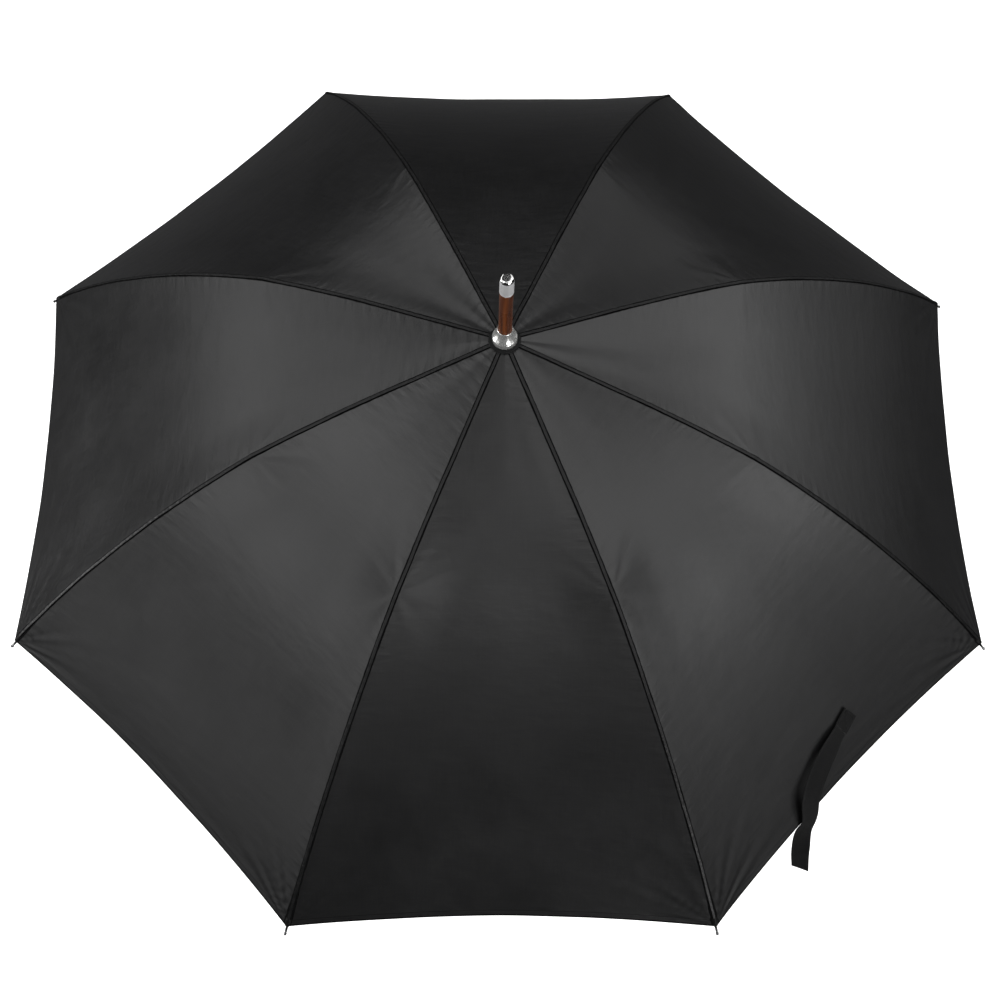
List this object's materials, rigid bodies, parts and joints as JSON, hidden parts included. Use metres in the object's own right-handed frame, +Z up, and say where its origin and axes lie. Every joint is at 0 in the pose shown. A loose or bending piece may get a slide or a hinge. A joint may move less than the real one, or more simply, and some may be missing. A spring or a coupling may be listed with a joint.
{
  "type": "stick umbrella",
  "caption": "Open stick umbrella: domed black cloth canopy on folding ribs, sliding runner with catches, wooden shaft, crook handle and metal-capped wooden tip.",
  "frame": {"origin": "on the shaft's axis, at the middle of the handle's grip", "axes": "+Z up the shaft towards the ferrule, +X towards the open end of the crook"},
  "size_m": [0.997, 0.997, 0.8732],
  "materials": {
    "red_brown_wood": "satin varnish",
    "polished_metal": "polished",
    "black_cloth": "satin weave",
    "black_plastic": "matte",
    "blackened_steel": "satin",
    "dark_glassfibre": "satin",
    "black_webbing": "matte weave",
    "bright_steel": "bright"
  },
  "bodies": {
    "frame": {"shaft": "red_brown_wood", "crook_handle": "red_brown_wood", "handle_collar": "polished_metal", "ferrule_wood": "red_brown_wood", "ferrule_cap": "polished_metal", "canopy_collar": "polished_metal", "canopy_rosette": "black_cloth", "inner_rosette": "black_cloth", "crown_notch": "black_plastic", "notch_wire": "bright_steel", "stop_pin": "bright_steel"},
    "top_catch": {"top_catch": "bright_steel"},
    "bottom_catch": {"bottom_catch": "bright_steel"},
    "runner": {"runner": "black_plastic", "runner_wire": "bright_steel"},
    "strap_root": {"strap_patch": "black_webbing"},
    "strap": {"tie_strap": "black_webbing"},
    "rib_1": {"inner_rib_1": "blackened_steel", "canopy_panel_1": "black_cloth"},
    "rod_1": {"outer_rod_1": "dark_glassfibre", "rib_tip_1": "bright_steel"},
    "strut_1": {"stretcher_1": "blackened_steel"},
    "rib_2": {"inner_rib_2": "blackened_steel", "canopy_panel_2": "black_cloth"},
    "rod_2": {"outer_rod_2": "dark_glassfibre", "rib_tip_2": "bright_steel"},
    "strut_2": {"stretcher_2": "blackened_steel"},
    "rib_3": {"inner_rib_3": "blackened_steel", "canopy_panel_3": "black_cloth"},
    "rod_3": {"outer_rod_3": "dark_glassfibre", "rib_tip_3": "bright_steel"},
    "strut_3": {"stretcher_3": "blackened_steel"},
    "rib_4": {"inner_rib_4": "blackened_steel", "canopy_panel_4": "black_cloth"},
    "rod_4": {"outer_rod_4": "dark_glassfibre", "rib_tip_4": "bright_steel"},
    "strut_4": {"stretcher_4": "blackened_steel"},
    "rib_5": {"inner_rib_5": "blackened_steel", "canopy_panel_5": "black_cloth"},
    "rod_5": {"outer_rod_5": "dark_glassfibre", "rib_tip_5": "bright_steel"},
    "strut_5": {"stretcher_5": "blackened_steel"},
    "rib_6": {"inner_rib_6": "blackened_steel", "canopy_panel_6": "black_cloth"},
    "rod_6": {"outer_rod_6": "dark_glassfibre", "rib_tip_6": "bright_steel"},
    "strut_6": {"stretcher_6": "blackened_steel"},
    "rib_7": {"inner_rib_7": "blackened_steel", "canopy_panel_7": "black_cloth"},
    "rod_7": {"outer_rod_7": "dark_glassfibre", "rib_tip_7": "bright_steel"},
    "strut_7": {"stretcher_7": "blackened_steel"},
    "rib_8": {"inner_rib_8": "blackened_steel", "canopy_panel_8": "black_cloth"},
    "rod_8": {"outer_rod_8": "dark_glassfibre", "rib_tip_8": "bright_steel"},
    "strut_8": {"stretcher_8": "blackened_steel"}
  },
  "joints": [
    {"name": "canopy_fold", "type": "hinge", "parent": "frame", "child": "rib_1", "pos_m": [0.01155, 0.00478, 0.6693], "axis": [-0.3827, 0.9239, 0], "range_deg": [0, 74.66], "deforming": ["canopy_panel_1"]},
    {"name": "rod_1_flex", "type": "hinge", "parent": "rib_1", "child": "rod_1", "pos_m": [0.23514, 0.0974, 0.61858], "axis": [-0.3827, 0.9239, 0], "range_deg": [-20.6, 0]},
    {"name": "stretcher_1_fold", "type": "hinge", "parent": "rib_1", "child": "strut_1", "pos_m": [0.23514, 0.0974, 0.61858], "axis": [-0.3827, 0.9239, 0], "range_deg": [-149.43, 0]},
    {"name": "runner_carry", "type": "hinge", "parent": "strut_1", "child": "runner", "pos_m": [0.01155, 0.00478, 0.56786], "axis": [-0.3827, 0.9239, 0], "range_deg": [0, 74.76]},
    {"name": "rib_2_fold", "type": "hinge", "parent": "frame", "child": "rib_2", "pos_m": [0.00478, 0.01155, 0.6693], "axis": [-0.9239, 0.3827, 0], "range_deg": [0, 74.66], "deforming": ["canopy_panel_2"]},
    {"name": "rod_2_flex", "type": "hinge", "parent": "rib_2", "child": "rod_2", "pos_m": [0.0974, 0.23514, 0.61858], "axis": [-0.9239, 0.3827, 0], "range_deg": [-20.6, 0]},
    {"name": "stretcher_2_fold", "type": "hinge", "parent": "rib_2", "child": "strut_2", "pos_m": [0.0974, 0.23514, 0.61858], "axis": [-0.9239, 0.3827, 0], "range_deg": [-149.43, 0]},
    {"name": "rib_3_fold", "type": "hinge", "parent": "frame", "child": "rib_3", "pos_m": [-0.00478, 0.01155, 0.6693], "axis": [-0.9239, -0.3827, 0], "range_deg": [0, 74.66], "deforming": ["canopy_panel_3"]},
    {"name": "rod_3_flex", "type": "hinge", "parent": "rib_3", "child": "rod_3", "pos_m": [-0.0974, 0.23514, 0.61858], "axis": [-0.9239, -0.3827, 0], "range_deg": [-20.6, 0]},
    {"name": "stretcher_3_fold", "type": "hinge", "parent": "rib_3", "child": "strut_3", "pos_m": [-0.0974, 0.23514, 0.61858], "axis": [-0.9239, -0.3827, 0], "range_deg": [-149.43, 0]},
    {"name": "rib_4_fold", "type": "hinge", "parent": "frame", "child": "rib_4", "pos_m": [-0.01155, 0.00478, 0.6693], "axis": [-0.3827, -0.9239, 0], "range_deg": [0, 74.66], "deforming": ["canopy_panel_4"]},
    {"name": "rod_4_flex", "type": "hinge", "parent": "rib_4", "child": "rod_4", "pos_m": [-0.23514, 0.0974, 0.61858], "axis": [-0.3827, -0.9239, 0], "range_deg": [-20.6, 0]},
    {"name": "stretcher_4_fold", "type": "hinge", "parent": "rib_4", "child": "strut_4", "pos_m": [-0.23514, 0.0974, 0.61858], "axis": [-0.3827, -0.9239, 0], "range_deg": [-149.43, 0]},
    {"name": "rib_5_fold", "type": "hinge", "parent": "frame", "child": "rib_5", "pos_m": [-0.01155, -0.00478, 0.6693], "axis": [0.3827, -0.9239, 0], "range_deg": [0, 74.66], "deforming": ["canopy_panel_5"]},
    {"name": "rod_5_flex", "type": "hinge", "parent": "rib_5", "child": "rod_5", "pos_m": [-0.23514, -0.0974, 0.61858], "axis": [0.3827, -0.9239, 0], "range_deg": [-20.6, 0]},
    {"name": "stretcher_5_fold", "type": "hinge", "parent": "rib_5", "child": "strut_5", "pos_m": [-0.23514, -0.0974, 0.61858], "axis": [0.3827, -0.9239, 0], "range_deg": [-149.43, 0]},
    {"name": "rib_6_fold", "type": "hinge", "parent": "frame", "child": "rib_6", "pos_m": [-0.00478, -0.01155, 0.6693], "axis": [0.9239, -0.3827, 0], "range_deg": [0, 74.66], "deforming": ["canopy_panel_6"]},
    {"name": "rod_6_flex", "type": "hinge", "parent": "rib_6", "child": "rod_6", "pos_m": [-0.0974, -0.23514, 0.61858], "axis": [0.9239, -0.3827, 0], "range_deg": [-20.6, 0]},
    {"name": "stretcher_6_fold", "type": "hinge", "parent": "rib_6", "child": "strut_6", "pos_m": [-0.0974, -0.23514, 0.61858], "axis": [0.9239, -0.3827, 0], "range_deg": [-149.43, 0]},
    {"name": "rib_7_fold", "type": "hinge", "parent": "frame", "child": "rib_7", "pos_m": [0.00478, -0.01155, 0.6693], "axis": [0.9239, 0.3827, 0], "range_deg": [0, 74.66], "deforming": ["canopy_panel_7"]},
    {"name": "rod_7_flex", "type": "hinge", "parent": "rib_7", "child": "rod_7", "pos_m": [0.0974, -0.23514, 0.61858], "axis": [0.9239, 0.3827, 0], "range_deg": [-20.6, 0]},
    {"name": "stretcher_7_fold", "type": "hinge", "parent": "rib_7", "child": "strut_7", "pos_m": [0.0974, -0.23514, 0.61858], "axis": [0.9239, 0.3827, 0], "range_deg": [-149.43, 0]},
    {"name": "rib_8_fold", "type": "hinge", "parent": "frame", "child": "rib_8", "pos_m": [0.01155, -0.00478, 0.6693], "axis": [0.3827, 0.9239, 0], "range_deg": [0, 74.66], "deforming": ["canopy_panel_8"]},
    {"name": "rod_8_flex", "type": "hinge", "parent": "rib_8", "child": "rod_8", "pos_m": [0.23514, -0.0974, 0.61858], "axis": [0.3827, 0.9239, 0], "range_deg": [-20.6, 0]},
    {"name": "stretcher_8_fold", "type": "hinge", "parent": "rib_8", "child": "strut_8", "pos_m": [0.23514, -0.0974, 0.61858], "axis": [0.3827, 0.9239, 0], "range_deg": [-149.43, 0]},
    {"name": "strap_follow", "type": "slide", "parent": "rod_8", "child": "strap_root", "axis": [0.5258, 0.7913, 0.3119], "range_m": [0, 0.14206], "deforming": ["strap_patch", "tie_strap"]},
    {"name": "strap_lift", "type": "hinge", "parent": "strap_root", "child": "strap", "pos_m": [0.33021, -0.3097, 0.46158], "axis": [-0.6877, 0.2203, 0.6918], "range_deg": [0, 110]},
    {"name": "top_catch_press", "type": "hinge", "parent": "frame", "child": "top_catch", "pos_m": [0, -0.004, 0.48846], "axis": [-1, 0, 0], "range_deg": [0, 5], "stiffness_Nm_per_rad": 0.4, "springref_deg": -3.44},
    {"name": "bottom_catch_press", "type": "hinge", "parent": "frame", "child": "bottom_catch", "pos_m": [0, -0.004, 0.11889], "axis": [-1, 0, 0], "range_deg": [0, 5], "stiffness_Nm_per_rad": 0.4, "springref_deg": -3.44}
  ],
  "couplings": [
    {"joint": "rod_1_flex", "follows": "canopy_fold", "ratio": -0.27456},
    {"joint": "stretcher_1_fold", "follows": "canopy_fold", "ratio": -2},
    {"joint": "runner_carry", "follows": "canopy_fold", "ratio": 1},
    {"joint": "rib_2_fold", "follows": "canopy_fold", "ratio": 1},
    {"joint": "rod_2_flex", "follows": "canopy_fold", "ratio": -0.27456},
    {"joint": "stretcher_2_fold", "follows": "canopy_fold", "ratio": -2},
    {"joint": "rib_3_fold", "follows": "canopy_fold", "ratio": 1},
    {"joint": "rod_3_flex", "follows": "canopy_fold", "ratio": -0.27456},
    {"joint": "stretcher_3_fold", "follows": "canopy_fold", "ratio": -2},
    {"joint": "rib_4_fold", "follows": "canopy_fold", "ratio": 1},
    {"joint": "rod_4_flex", "follows": "canopy_fold", "ratio": -0.27456},
    {"joint": "stretcher_4_fold", "follows": "canopy_fold", "ratio": -2},
    {"joint": "rib_5_fold", "follows": "canopy_fold", "ratio": 1},
    {"joint": "rod_5_flex", "follows": "canopy_fold", "ratio": -0.27456},
    {"joint": "stretcher_5_fold", "follows": "canopy_fold", "ratio": -2},
    {"joint": "rib_6_fold", "follows": "canopy_fold", "ratio": 1},
    {"joint": "rod_6_flex", "follows": "canopy_fold", "ratio": -0.27456},
    {"joint": "stretcher_6_fold", "follows": "canopy_fold", "ratio": -2},
    {"joint": "rib_7_fold", "follows": "canopy_fold", "ratio": 1},
    {"joint": "rod_7_flex", "follows": "canopy_fold", "ratio": -0.27456},
    {"joint": "stretcher_7_fold", "follows": "canopy_fold", "ratio": -2},
    {"joint": "rib_8_fold", "follows": "canopy_fold", "ratio": 1},
    {"joint": "rod_8_flex", "follows": "canopy_fold", "ratio": -0.27456},
    {"joint": "stretcher_8_fold", "follows": "canopy_fold", "ratio": -2},
    {"joint": "strap_follow", "follows": "canopy_fold", "m_per_rad": 0.10863}
  ]
}
